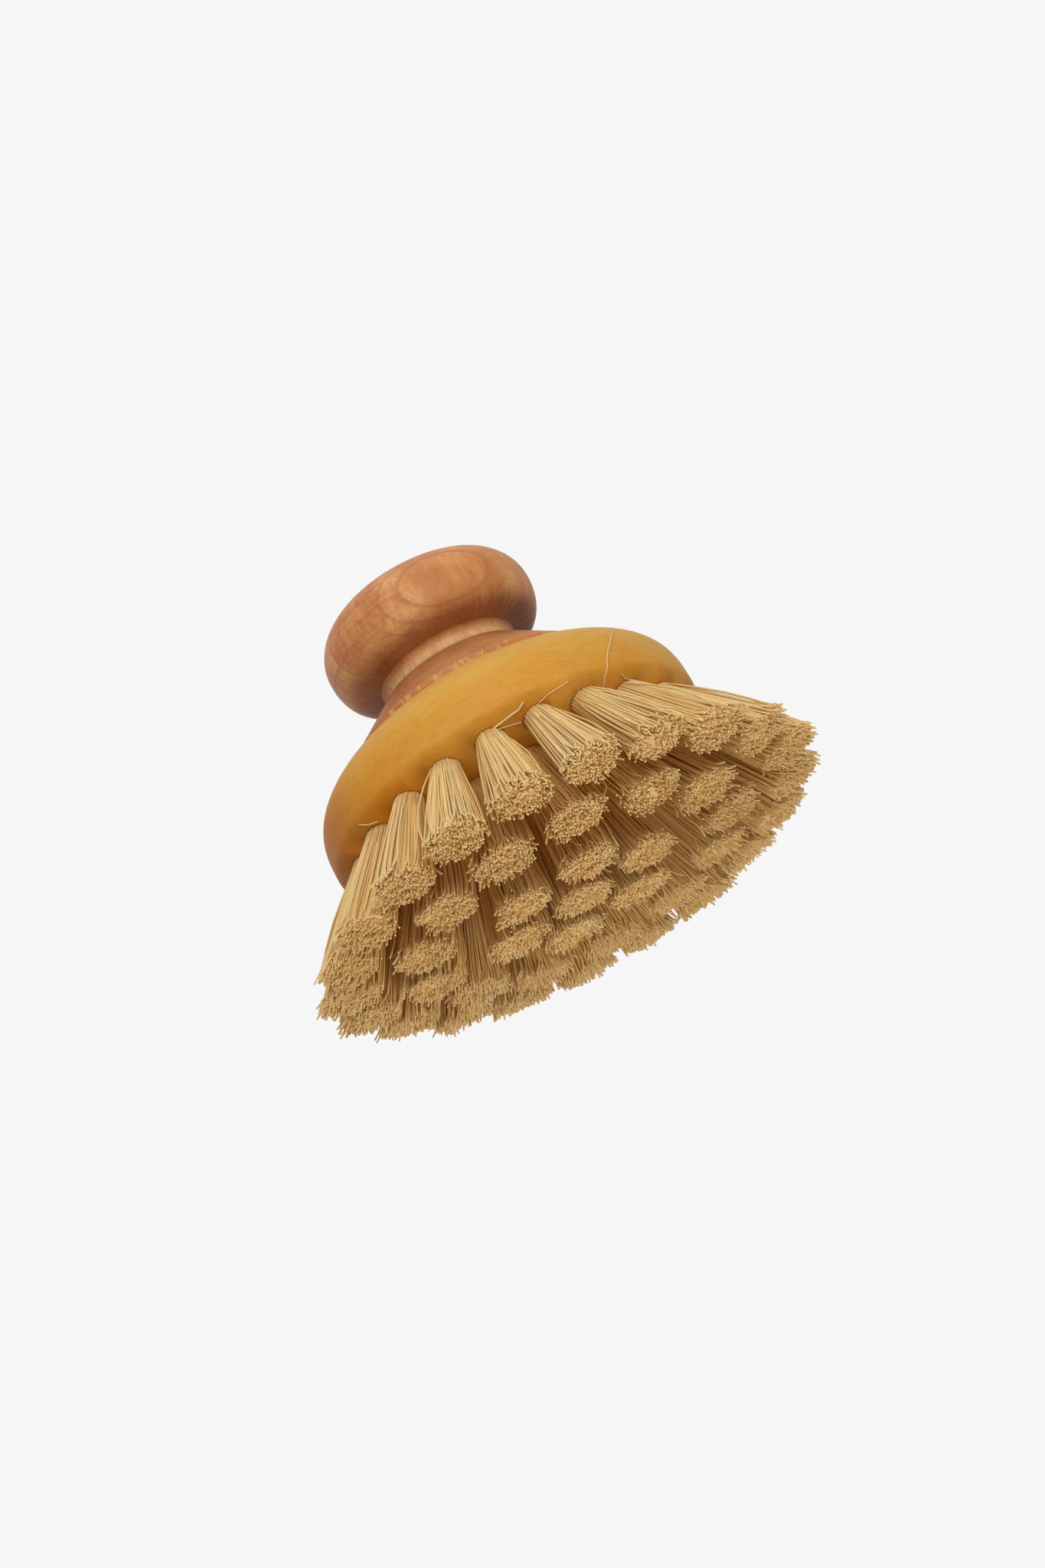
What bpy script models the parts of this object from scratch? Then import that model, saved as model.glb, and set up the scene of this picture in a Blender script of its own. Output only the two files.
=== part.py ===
"""Pot brush: a turned knob glued over a drilled wooden head, filled with hand-drawn tufts.

Metres, +Z up. The brush stands on its bristles with the knob up. The bristle tips are cut to
a shallow dome with a flat in its middle, and the origin is the middle of that flat.
"""
import math
from dataclasses import dataclass

import bmesh
import bpy
from mathutils import Matrix, Vector

# Head block: a turned dome, widest at its rim line
HEAD_RADIUS = 0.0334
RIM_HEIGHT = 0.0237
FACE_CROWN = 0.0050
FACE_FULLNESS = 3.2
BLOCK_RISE = 0.0133
SHOULDER_WIDTH = 0.0110
SHOULDER_FULLNESS = 3.3
RECESS_DEPTH = 0.0022
RECESS_MARGIN = 0.0008

# Knob handle: spigot and foot, cove for the fingers, and knob
GLUE_GAP = 0.0003
SPIGOT_CLEARANCE = 0.0003
WIRE_ROOM = 0.0014
FOOT_EDGE = 0.0010
COLLAR_RISE = 0.0085
COLLAR_RADIUS = 0.0133
COVE_DEPTH = 0.0016
COVE_HALF_HEIGHT = 0.0018
COVE_SWEEP = math.radians(55)
KNOB_RADIUS = 0.0188
KNOB_UNDER_HEIGHT = 0.0066
KNOB_UNDER_FULLNESS = 0.60
KNOB_CROWN_HEIGHT = 0.0087
KNOB_CROWN_FULLNESS = 0.54

# Holes in the head: rows from the rim inwards, evenly spaced, with one hole in the middle
RIM_MARGIN = 0.0047
ROW_STEPS = 3
BORE_RADIUS = 0.0025
BORE_DEPTH = 0.0090
DRILL_OVERRUN = 0.0020

# Each row's distance between tufts, and how high above the face its hole axes meet
OUTER_PITCH = 0.0086
OUTER_FAN_HEIGHT = 0.0374
OUTER_PHASE = math.radians(-90.5)
MIDDLE_PITCH = 0.0092
MIDDLE_FAN_HEIGHT = 0.0353
MIDDLE_PHASE = math.radians(-134.0)
INNER_PITCH = 0.0100
INNER_FAN_HEIGHT = 0.0493
INNER_PHASE = math.radians(-133.0)
CENTRE_PHASE = math.radians(-36.0)

# Tufts: strands on a plug of folded fibre, pinched where the wire holds it
FIBRE_CLEARANCE = 0.00025
NECK_CLEARANCE = 0.0002
NECK_STEP = 0.0002
TIP_RADIUS = 0.0047
FOLD_WIDTH = 0.00084
FOLD_SIZE_SHARE = 0.82

# Cut of the tips: a shallow dome, flat in the middle, where the brush stands
TRIM_RADIUS = 0.2000
TRIM_FLAT_DEPTH = 0.0005

# A tuft seen end on, as shares of its radius: a middle strand with wedges round it
WEDGE_COUNT = 7
WEDGE_PLACE_SHARE = 0.67
WEDGE_SIZE_SHARE = 0.42
MIDDLE_SIZE_SHARE = 0.18
BEND_PLACE_SHARE = 0.42
BEND_FLARE_SHARE = 0.34

# Drawing wire
WIRE_RADIUS = 0.00018
WIRE_CLEARANCE = 0.00025
WIRE_TAIL = 0.0015

# Facets and steps of round shapes
HEAD_STEPS = 48
FACE_STEPS = 8
SHOULDER_STEPS = 7
KNOB_STEPS = 40
COVE_STEPS = 6
UNDER_STEPS = 6
CROWN_STEPS = 8
HOLE_SIDES = 8
EYE_SIDES = 4
FOLD_SIDES = 6
STRAND_SIDES = 3
TIP_SEARCH_STEPS = 12
SHARP_ANGLE = math.radians(35)
MERGE_DISTANCE = 0.000001

# Heights and radii that follow from the sizes above
JOINT_RADIUS = HEAD_RADIUS - SHOULDER_WIDTH
JOINT_HEIGHT = RIM_HEIGHT + BLOCK_RISE
RECESS_FLOOR = JOINT_HEIGHT - RECESS_DEPTH
WIRE_HEIGHT = RECESS_FLOOR + WIRE_RADIUS + WIRE_CLEARANCE
PLUG_RADIUS = BORE_RADIUS * math.cos(math.pi / HOLE_SIDES) - FIBRE_CLEARANCE
FOLD_RADIUS = PLUG_RADIUS * FOLD_SIZE_SHARE
EYE_RADIUS = (WIRE_RADIUS + WIRE_CLEARANCE) / math.cos(math.pi / EYE_SIDES)
EYE_DEPTH = BORE_DEPTH - FIBRE_CLEARANCE - FOLD_RADIUS
PLUG_DEPTH = EYE_DEPTH - EYE_RADIUS - WIRE_RADIUS
WIRE_LEG_OFFSET = FOLD_WIDTH / 2 + WIRE_CLEARANCE + WIRE_RADIUS
PILOT_RADIUS = (WIRE_LEG_OFFSET + WIRE_RADIUS + WIRE_CLEARANCE) / math.cos(math.pi / HOLE_SIDES)


def face_height(radius):
    """Height of the drilled face at this distance from the axis."""
    return RIM_HEIGHT - FACE_CROWN * math.sqrt(1 - (radius / HEAD_RADIUS) ** FACE_FULLNESS)


def face_tilt(radius):
    """Slope of the drilled face at this distance from the axis, as an angle."""
    reach = (radius / HEAD_RADIUS) ** FACE_FULLNESS
    if reach == 0:
        return 0.0
    return math.atan(FACE_CROWN * FACE_FULLNESS * reach / (2 * radius * math.sqrt(1 - reach)))


def trim_height(radius):
    """Height of the cut through the tips at this distance from the axis."""
    return max(0.0, TRIM_RADIUS - math.sqrt(TRIM_RADIUS ** 2 - radius ** 2) - TRIM_FLAT_DEPTH)


@dataclass
class Row:
    """A circle of equal tufts whose hole axes meet on the brush's axis, above the face."""

    name: str
    count: int
    phase: float
    root_radius: float
    fan_height: float

    @property
    def splay(self):
        """Lean of the holes and tufts from the brush's axis."""
        return math.atan2(self.root_radius, self.fan_height)

    @property
    def root(self):
        """Where the hole's axis meets the face, for a hole at angle zero."""
        return Vector((self.root_radius, 0, face_height(self.root_radius)))

    @property
    def inward(self):
        """Direction of the hole from the face into the head."""
        return Vector((-math.sin(self.splay), 0, math.cos(self.splay)))

    @property
    def across(self):
        """Direction across the tuft, square to its axis, in the plane of the brush's axis."""
        return Vector((math.cos(self.splay), 0, math.sin(self.splay)))

    @property
    def placing(self):
        """Places a rod along Z, with its zero at the face, on the hole's axis."""
        return Matrix.Translation(self.root) @ Matrix.Rotation(-self.splay, 4, "Y")

    @property
    def tip(self):
        """Where the hole's axis meets the cut, for a tuft at angle zero."""
        radius = self.root_radius
        for step in range(TIP_SEARCH_STEPS):
            radius = self.root_radius + (self.root.z - trim_height(radius)) * math.tan(self.splay)
        return Vector((radius, 0, trim_height(radius)))

    @property
    def neck_show(self):
        """How far the tight neck stands out of the face, clear of the hole's upper edge."""
        return BORE_RADIUS * math.tan(self.splay - face_tilt(self.root_radius)) + NECK_CLEARANCE

    def along(self, height):
        """Distance along the hole's axis from the face to this height."""
        return (height - self.root.z) / math.cos(self.splay)

    def angles(self):
        """The angle of every tuft in the row, in order round the axis."""
        return [self.phase + 2 * math.pi * step / self.count for step in range(self.count)]


def circle_row(name, steps_out, pitch, phase, fan_height):
    """A row that stands this many even steps out from the middle, filled at about this pitch."""
    radius = (HEAD_RADIUS - RIM_MARGIN) * steps_out / ROW_STEPS
    return Row(name, round(2 * math.pi * radius / pitch), phase, radius, fan_height)


def tuft_rows():
    """The rows of tufts from the outside in."""
    return [
        circle_row("tuft_outer", 3, OUTER_PITCH, OUTER_PHASE, OUTER_FAN_HEIGHT),
        circle_row("tuft_middle", 2, MIDDLE_PITCH, MIDDLE_PHASE, MIDDLE_FAN_HEIGHT),
        circle_row("tuft_inner", 1, INNER_PITCH, INNER_PHASE, INNER_FAN_HEIGHT),
        Row("tuft_centre", 1, CENTRE_PHASE, 0.0, INNER_FAN_HEIGHT),
    ]


def material(name, colour, roughness, metallic=0.0):
    """A plain Principled material."""
    made = bpy.data.materials.new(name)
    made.use_nodes = True
    made.diffuse_color = (*colour, 1.0)
    shader = made.node_tree.nodes["Principled BSDF"]
    shader.inputs["Base Color"].default_value = (*colour, 1.0)
    shader.inputs["Roughness"].default_value = roughness
    shader.inputs["Metallic"].default_value = metallic
    return made


def put_in_scene(name, data, finish=None):
    """Link an object to the scene and give it its material."""
    made = bpy.data.objects.new(name, data)
    bpy.context.collection.objects.link(made)
    if finish is not None:
        data.materials.clear()
        data.materials.append(finish)
    return made


def mesh_from(bm, name):
    """Close a bmesh into a mesh with its faces pointing out."""
    bmesh.ops.remove_doubles(bm, verts=bm.verts, dist=MERGE_DISTANCE)
    bmesh.ops.recalc_face_normals(bm, faces=bm.faces)
    mesh = bpy.data.meshes.new(name)
    bm.to_mesh(mesh)
    bm.free()
    return mesh


def turned(outline, steps, placing=Matrix.Identity(4)):
    """Spin an outline of (radius, height) points about the Z axis, and close its open ends flat."""
    bm = bmesh.new()
    points = [bm.verts.new((radius, 0, height)) for radius, height in outline]
    edges = [bm.edges.new(pair) for pair in zip(points, points[1:])]
    bmesh.ops.spin(
        bm, geom=points + edges, cent=(0, 0, 0), axis=(0, 0, 1),
        angle=2 * math.pi, steps=steps, use_merge=True,
    )
    bmesh.ops.remove_doubles(bm, verts=bm.verts, dist=MERGE_DISTANCE)
    bmesh.ops.edgeloop_fill(bm, edges=[edge for edge in bm.edges if edge.is_boundary])
    bmesh.ops.transform(bm, matrix=placing, verts=bm.verts)
    return bm


def rod(radius, start, end, sides, placing):
    """A faceted rod along the Z axis from start to end, put in its place."""
    return turned([(radius, start), (radius, end)], sides, placing)


def shade_round(mesh):
    """Smooth shading that keeps the turned edges crisp."""
    mesh.shade_smooth()
    mesh.set_sharp_from_angle(angle=SHARP_ANGLE)


def curve_points(count):
    """Quarter-turn angles for the points of a rounded stretch, without its first point."""
    return [math.pi / 2 * step / count for step in range(1, count + 1)]


def head_outline():
    """Profile of the head block, from the flat middle of its face round to the recess."""
    points = []
    for angle in curve_points(FACE_STEPS):
        radius = HEAD_RADIUS * math.sin(angle)
        points.append((radius, face_height(radius)))
    for angle in curve_points(SHOULDER_STEPS):
        rise = math.sin(angle)
        radius = HEAD_RADIUS - SHOULDER_WIDTH * rise ** SHOULDER_FULLNESS
        points.append((radius, RIM_HEIGHT + BLOCK_RISE * rise))
    points.append((recess_radius(), JOINT_HEIGHT))
    points.append((recess_radius(), RECESS_FLOOR))
    return points


def recess_radius():
    """The recess takes in the pilot holes of the outer row with a margin."""
    outer = tuft_rows()[0]
    exit_radius = (outer.root + outer.inward * outer.along(RECESS_FLOOR)).x
    return exit_radius + PILOT_RADIUS / math.cos(outer.splay) + RECESS_MARGIN


def knob_outline():
    """Profile of the knob handle, from the edge of its spigot up to the crown."""
    foot = JOINT_HEIGHT + GLUE_GAP
    spigot_radius = recess_radius() - SPIGOT_CLEARANCE
    collar = JOINT_HEIGHT + COLLAR_RISE
    points = [
        (spigot_radius, RECESS_FLOOR + WIRE_ROOM),
        (spigot_radius, foot),
        (JOINT_RADIUS, foot),
        (JOINT_RADIUS, foot + FOOT_EDGE),
        (COLLAR_RADIUS, collar),
    ]
    cove_height = collar + COVE_HALF_HEIGHT
    for step in range(1, COVE_STEPS + 1):
        angle = -math.pi / 2 + (math.pi / 2 + COVE_SWEEP) * step / COVE_STEPS
        radius = COLLAR_RADIUS - COVE_DEPTH * math.cos(angle)
        points.append((radius, cove_height + COVE_HALF_HEIGHT * math.sin(angle)))
    under_radius, under_height = points[-1]
    widest = under_height + KNOB_UNDER_HEIGHT
    for angle in curve_points(UNDER_STEPS):
        spread = math.sin(angle) ** KNOB_UNDER_FULLNESS
        radius = under_radius + (KNOB_RADIUS - under_radius) * spread
        points.append((radius, widest - KNOB_UNDER_HEIGHT * math.cos(angle)))
    for angle in curve_points(CROWN_STEPS)[:-1]:
        radius = KNOB_RADIUS * math.cos(angle) ** KNOB_CROWN_FULLNESS
        points.append((radius, widest + KNOB_CROWN_HEIGHT * math.sin(angle)))
    points.append((0, widest + KNOB_CROWN_HEIGHT))
    return points


def hole_cutter(row):
    """Stepped drill for one hole of a row at angle zero: a bore, then a pilot to the recess."""
    steps = [
        (BORE_RADIUS, -DRILL_OVERRUN),
        (BORE_RADIUS, BORE_DEPTH),
        (PILOT_RADIUS, BORE_DEPTH),
        (PILOT_RADIUS, row.along(RECESS_FLOOR) + DRILL_OVERRUN),
    ]
    return turned(steps, HOLE_SIDES, row.placing)


def join_copies(name, masters):
    """One guide mesh that holds a turned copy of each (bmesh, angles) pair."""
    joined = bmesh.new()
    for bm, angles in masters:
        mesh = mesh_from(bm, name)
        for angle in angles:
            first = len(joined.verts)
            joined.from_mesh(mesh)
            joined.verts.ensure_lookup_table()
            turn = Matrix.Rotation(angle, 4, "Z")
            bmesh.ops.transform(joined, matrix=turn, verts=joined.verts[first:])
        bpy.data.meshes.remove(mesh)
    guide = put_in_scene(name, mesh_from(joined, name))
    guide.hide_render = True
    guide.display_type = "WIRE"
    return guide


def add_boolean(target, tool, operation):
    """Cut or join a target with a tool, by the exact solver. The parts of a tool may cross."""
    step = target.modifiers.new(tool.name, "BOOLEAN")
    step.operation = operation
    step.solver = "EXACT"
    step.use_self = True
    step.object = tool


def build_head(rows, finish):
    """The drilled head block."""
    head = put_in_scene("head_block", mesh_from(turned(head_outline(), HEAD_STEPS), "head_block"), finish)
    drills = [(hole_cutter(row), row.angles()) for row in rows]
    add_boolean(head, join_copies("drills", drills), "DIFFERENCE")
    shade_round(head.data)
    return head


def build_knob(finish):
    """The turned knob handle with its glued foot."""
    knob = put_in_scene("knob_handle", mesh_from(turned(knob_outline(), KNOB_STEPS), "knob_handle"), finish)
    shade_round(knob.data)
    return knob


def strand_sections():
    """Triangles of every strand in the unit disc of a tuft, wedges with a corner to the middle."""
    sections = [(Vector((0, 0)), MIDDLE_SIZE_SHARE, math.pi / (STRAND_SIDES * WEDGE_COUNT))]
    for wedge in range(WEDGE_COUNT):
        angle = 2 * math.pi * wedge / WEDGE_COUNT
        centre = Vector((math.cos(angle), math.sin(angle))) * WEDGE_PLACE_SHARE
        sections.append((centre, WEDGE_SIZE_SHARE, angle + math.pi))
    triangles = []
    for centre, size, heading in sections:
        corners = [heading + 2 * math.pi * side / STRAND_SIDES for side in range(STRAND_SIDES)]
        triangles.append([centre + Vector((math.cos(turn), math.sin(turn))) * size for turn in corners])
    return triangles


def add_strands(bm, row):
    """Strands from the neck of a tuft to the cut through the tips. Gives their root edges."""
    side = Vector((0, 1, 0))
    neck = row.root - row.inward * row.neck_show
    bend = neck.lerp(row.tip, BEND_PLACE_SHARE)
    neck_radius = PLUG_RADIUS * math.cos(math.pi / HOLE_SIDES) - NECK_STEP
    neck_across = row.across * neck_radius
    neck_side = side * neck_radius
    tip_across = Vector((TIP_RADIUS, 0, 0))
    tip_side = side * TIP_RADIUS
    bend_across = neck_across.lerp(tip_across, BEND_FLARE_SHARE)
    bend_side = neck_side.lerp(tip_side, BEND_FLARE_SHARE)
    stations = (
        (neck, neck_across, neck_side),
        (bend, bend_across, bend_side),
        (row.tip, tip_across, tip_side),
    )
    roots = []
    for corners in strand_sections():
        loops = []
        for centre, across, sideways in stations:
            ring = [bm.verts.new(centre + across * corner.x + sideways * corner.y) for corner in corners]
            loops.append([bm.edges.new((ring[step - 1], ring[step])) for step in range(STRAND_SIDES)])
        for vertex in ring:
            vertex.co.z = trim_height(vertex.co.xy.length)
        for lower, upper in zip(loops, loops[1:]):
            bmesh.ops.bridge_loops(bm, edges=lower + upper)
        bmesh.ops.edgeloop_fill(bm, edges=loops[-1])
        roots += loops[0]
    return roots


def add_plug(bm, row):
    """The packed fibre in the hole, with its strands fused to the end of its neck."""
    plug = rod(PLUG_RADIUS, -row.neck_show, PLUG_DEPTH, HOLE_SIDES, row.placing)
    mesh = mesh_from(plug, row.name)
    bm.from_mesh(mesh)
    bpy.data.meshes.remove(mesh)
    neck = min(bm.faces, key=lambda face: row.inward.dot(face.calc_center_median()))
    rim = list(neck.edges)
    bmesh.ops.delete(bm, geom=[neck], context="FACES_ONLY")
    roots = add_strands(bm, row)
    bmesh.ops.triangle_fill(bm, edges=rim + roots, normal=row.inward, use_beauty=True)


def tuft_mesh(row, finish):
    """Mesh of one tuft of a row at angle zero, with the fold, its wire eye, plug and strands."""
    across_hole = row.placing @ Matrix.Translation((0, 0, EYE_DEPTH)) @ Matrix.Rotation(math.pi / 2, 4, "X")
    tuft = bmesh.new()
    add_plug(tuft, row)
    fold = rod(FOLD_RADIUS, -FOLD_WIDTH / 2, FOLD_WIDTH / 2, FOLD_SIDES, across_hole)
    eye = rod(EYE_RADIUS, -FOLD_WIDTH, FOLD_WIDTH, EYE_SIDES, across_hole)
    body = put_in_scene(row.name, mesh_from(tuft, row.name))
    tools = []
    for name, bm, operation in (("fold", fold, "UNION"), ("eye", eye, "DIFFERENCE")):
        tool = put_in_scene(name, mesh_from(bm, name))
        add_boolean(body, tool, operation)
        tools.append(tool)
    evaluated = body.evaluated_get(bpy.context.evaluated_depsgraph_get())
    mesh = bpy.data.meshes.new_from_object(evaluated)
    for spent in tools + [body]:
        bpy.data.objects.remove(spent)
    mesh.name = row.name
    mesh.materials.clear()
    mesh.materials.append(finish)
    return mesh


def build_tufts(rows, finish):
    """Every tuft as its own object; the tufts of a row share one mesh."""
    for row in rows:
        mesh = tuft_mesh(row, finish)
        for number, angle in enumerate(row.angles(), start=1):
            name = row.name if row.count == 1 else f"{row.name}_{number:02d}"
            tuft = put_in_scene(name, mesh)
            tuft.rotation_euler = (0, 0, angle)


def wire_dip(row, angle):
    """Four points of the wire at one hole: down one leg, through the fold and up the other."""
    top = row.root + row.inward * row.along(WIRE_HEIGHT)
    bottom = row.root + row.inward * EYE_DEPTH
    leg = Vector((0, WIRE_LEG_OFFSET, 0))
    turn = Matrix.Rotation(angle, 3, "Z")
    return [turn @ point for point in (top - leg, bottom - leg, bottom + leg, top + leg)]


def wire_route(rows):
    """The wire's points from hole to hole, row by row from the outside to the middle."""
    points = []
    arrival = rows[0].phase
    for row in rows:
        order = sorted(row.angles(), key=lambda angle: (angle - arrival) % (2 * math.pi))
        for angle in order:
            points += wire_dip(row, angle)
        arrival = math.atan2(points[-1].y, points[-1].x)
    first_tail = points[0] + (points[0] - points[3]).normalized() * WIRE_TAIL
    last_tail = points[-1] + (points[-1] - points[-4]).normalized() * WIRE_TAIL
    return [first_tail] + points + [last_tail]


def build_wire(rows, finish):
    """The drawing wire, one unbroken run of fine steel wire in the recess."""
    route = wire_route(rows)
    curve = bpy.data.curves.new("drawing_wire", "CURVE")
    curve.dimensions = "3D"
    curve.bevel_depth = WIRE_RADIUS
    curve.bevel_resolution = 0
    curve.use_fill_caps = True
    spline = curve.splines.new("POLY")
    spline.points.add(len(route) - 1)
    for place, point in zip(spline.points, route):
        place.co = (*point, 1)
    return put_in_scene("drawing_wire", curve, finish)


def build():
    """Clear the scene and build the brush."""
    for old in list(bpy.data.objects):
        bpy.data.objects.remove(old)
    rows = tuft_rows()
    yellow_wood = material("waxed_yellow_wood", (0.62, 0.31, 0.06), 0.42)
    red_wood = material("oiled_red_wood", (0.32, 0.105, 0.033), 0.40)
    fibre = material("straw_fibre", (0.58, 0.39, 0.18), 0.65)
    steel = material("stainless_wire", (0.60, 0.60, 0.58), 0.30, metallic=1.0)
    build_head(rows, yellow_wood)
    build_knob(red_wood)
    build_tufts(rows, fibre)
    build_wire(rows, steel)


build()
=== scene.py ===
"""Round wooden pot brush: a turned red-wood knob glued over a yellow drilled head filled with
41 splayed tufts of straw-coloured plant fibre. Metres, +Z up, standing on its bristles.
"""
import math
import random
from functools import partialmethod

import bmesh
import bpy
import numpy as np
from bpy.props import FloatProperty, FloatVectorProperty, IntProperty, PointerProperty
from mathutils import Matrix, Vector


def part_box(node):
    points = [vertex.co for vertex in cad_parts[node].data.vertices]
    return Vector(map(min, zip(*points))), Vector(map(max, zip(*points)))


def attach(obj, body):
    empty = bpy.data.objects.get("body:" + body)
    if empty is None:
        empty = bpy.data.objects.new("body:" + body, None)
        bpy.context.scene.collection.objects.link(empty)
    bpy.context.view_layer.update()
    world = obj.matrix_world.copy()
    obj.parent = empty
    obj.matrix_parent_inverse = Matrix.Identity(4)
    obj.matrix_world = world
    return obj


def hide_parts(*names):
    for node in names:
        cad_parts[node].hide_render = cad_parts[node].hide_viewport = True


bl_info = {
    "name": "Pot Brush Workshop",
    "version": (1, 0, 0),
    "blender": (4, 5, 0),
    "location": "3D View > Sidebar > Pot Brush",
    "description": "Turns, drills and fills a round wooden pot brush",
    "category": "Add Mesh",
}

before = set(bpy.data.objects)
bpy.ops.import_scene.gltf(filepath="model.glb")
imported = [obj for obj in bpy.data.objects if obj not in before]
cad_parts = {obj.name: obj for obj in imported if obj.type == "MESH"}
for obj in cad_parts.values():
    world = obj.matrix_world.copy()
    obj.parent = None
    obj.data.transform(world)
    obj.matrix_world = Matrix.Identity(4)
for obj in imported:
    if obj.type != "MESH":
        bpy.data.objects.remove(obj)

MM = 0.001

# Head block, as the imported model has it
HEAD_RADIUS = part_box("head_block")[1].x
RIM_HEIGHT = 0.0237
FACE_CROWN = 0.0050
FACE_FULLNESS = 3.2
JOINT_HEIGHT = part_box("head_block")[1].z
BLOCK_RISE = JOINT_HEIGHT - RIM_HEIGHT
JOINT_RADIUS = 0.0224
SHOULDER_FULLNESS = 3.3
RECESS_RADIUS = 0.02035
RECESS_FLOOR = 0.0348
BORE_RADIUS = 0.0025
BORE_DEPTH = 0.0090
PILOT_RADIUS = 0.0013
DRILL_OVERRUN = 0.0020

# Knob handle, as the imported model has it
FOOT_HEIGHT = 0.0373
FOOT_EDGE_HEIGHT = 0.0010
FOOT_EDGE_TAPER = 0.0001
FOOT_TOP = FOOT_HEIGHT + FOOT_EDGE_HEIGHT
SPIGOT_RADIUS = 0.02005
SPIGOT_BOTTOM = 0.0362
COLLAR_RADIUS = 0.0133
COLLAR_HEIGHT = 0.0455
COVE_DEPTH = 0.0016
COVE_HALF_HEIGHT = 0.0018
COVE_SWEEP = math.radians(55)
KNOB_RADIUS = 0.0188
KNOB_UNDER_HEIGHT = 0.0066
KNOB_UNDER_FULLNESS = 0.60
KNOB_CROWN_HEIGHT = 0.0087
KNOB_CROWN_FULLNESS = 0.54

# Glue: in from the recess's wall and from the joint's edge, and clear of both woods
GLUE_INSET = 0.0006
GLUE_SHY = 0.00003
GLUE_SLACK = 0.00001

# Steps of the turned shapes
HEAD_STEPS = 180
KNOB_STEPS = 144
DRILL_STEPS = 28
FACE_POINTS = 30
SHOULDER_POINTS = 22
COVE_POINTS = 16
UNDER_POINTS = 20
CROWN_POINTS = 28
EDGE_SEGMENTS = 4
SHARP_ANGLE = math.radians(30)
SAME_PLACE = 1e-5
SAME_POINT = 1e-6

# Where the knob's figure starts, from nothing to its full strength, and its flat-cut ring. In millimetres
RINGS_FROM = (48.4, 49.6)
FLECKS_FROM = (49.5, 53.0)
FLAT_RING_DEPTH = 1.10

# Tufts
TRIM_RADIUS = 0.2000
TRIM_FLAT_DEPTH = 0.0005
TIP_RADIUS = 0.0050
TIP_OUTWARD_SHARE = 0.88
TIP_SEARCH_STEPS = 12
OPEN_RADIUS = 0.0250
OPEN_SHARE = 0.35
PACKED_RADIUS = 0.00240
PACKED_DEPTH = 0.0040
FLARE_POWER = 1.10
GOLDEN_ANGLE = math.pi * (3 - math.sqrt(5))
SPOT_POWER = 0.41
SPOT_NUDGE = 0.8

# Clumps of a tuft, and what they do to its tips. The trim is in millimetres
CLUMPS = 11
CLUMP_LEAN = 0.05
CLUMP_TRIM = 0.28
CLUMP_TINT = 0.2
CLUMP_PULL = 0.06
TIP_JITTER = 0.06

# Single fibres: stations from the face to the cut, then what differs from one to the next
FIBRE_STATIONS = (0.0, 0.28, 0.55, 0.78, 0.88, 0.94, 0.975, 1.0)
TONES = (0.15, 0.85)
THICKNESSES = (0.85, 1.15)
ROOT_THICKNESSES = (0.72, 0.75)
BOW_SHARE = 0.6
BOW_TURN = 0.8
STRAY_ASIDE = 0.6
STRAY_BOWS = (1.0, 3.0)
STRAY_CUTS = (-6, 1)
CURL_FROM = 0.86
CURL_POWER = 1.6
CURL_RISES = (0.0, 0.5)
CURL_SIZES = (0.3, 1.35)
LABELS = ("tone", "shelter", "along")
SHADE_FADE_POINTS = 3
RING_SIDES = 4
CAP_MERGE = 1e-7

# Smooth core of a tuft
CORE_STOPS = (-0.20, 0.0, 0.15, 0.35, 0.55, 0.75, 0.88, 0.966)
CORE_SIDES = 24
CORE_SHARE = 0.84
CORE_TONE = 0.45
# The core takes a little of the painted shade
CORE_SHADE = 0.25

# Loose fibres: height of their middle over the wood, and steps from one stop to the next
HAIR_LIFT = 0.00018
HAIR_STEPS = 6

# Camera, lamps and ground
CAMERA_ELEVATION = 0.3951
CAMERA_ROLL = -0.5214
CAMERA_TARGET = (0, 0, 0.02304)
CAMERA_DISTANCE = 0.8743
CAMERA_LENS = 122.13
CAMERA_SENSOR = 36.0
CAMERA_SHIFT = (0.002205, 0.002154)
CAMERA_CLIP = (0.05, 20.0)
LAMP_TARGET = (0, 0, 0.030)
LAMP_DISTANCE = 0.65
LAMP_SIZE = 0.45
GROUND_RADIUS = 0.9
GROUND_SIDES = 64
GROUND_DROP = 0.0001
GROUND_FADE = (180.0, 520.0)

# name, count, phase, root radius, fan height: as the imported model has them
ROWS = (
    ("tuft_outer", 21, math.radians(-90.5), 0.0287, 0.0374),
    ("tuft_middle", 13, math.radians(-134.0), 0.01913, 0.0353),
    ("tuft_inner", 6, math.radians(-133.0), 0.00957, 0.0493),
    ("tuft_centre", 1, math.radians(-36.0), 0.0, 0.0493),
)


def paint(red, green, blue):
    """A colour picked on a 0 to 255 screen scale, as the linear value that Blender keeps."""
    scaled = [part / 255 for part in (red, green, blue)]
    return tuple(part / 12.92 if part <= 0.04045 else ((part + 0.055) / 1.055) ** 2.4 for part in scaled)


def colour(name, description, value):
    """A colour property."""
    return FloatVectorProperty(name=name, description=description, subtype="COLOR", size=3, min=0, max=1, default=value)


def length(name, description, value):
    """A length property."""
    return FloatProperty(name=name, description=description, unit="LENGTH", precision=5, min=0, default=value)


def share(name, description, value):
    """A property between nought and one."""
    return FloatProperty(name=name, description=description, subtype="FACTOR", min=0, max=1, default=value)


# ---- settings


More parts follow.
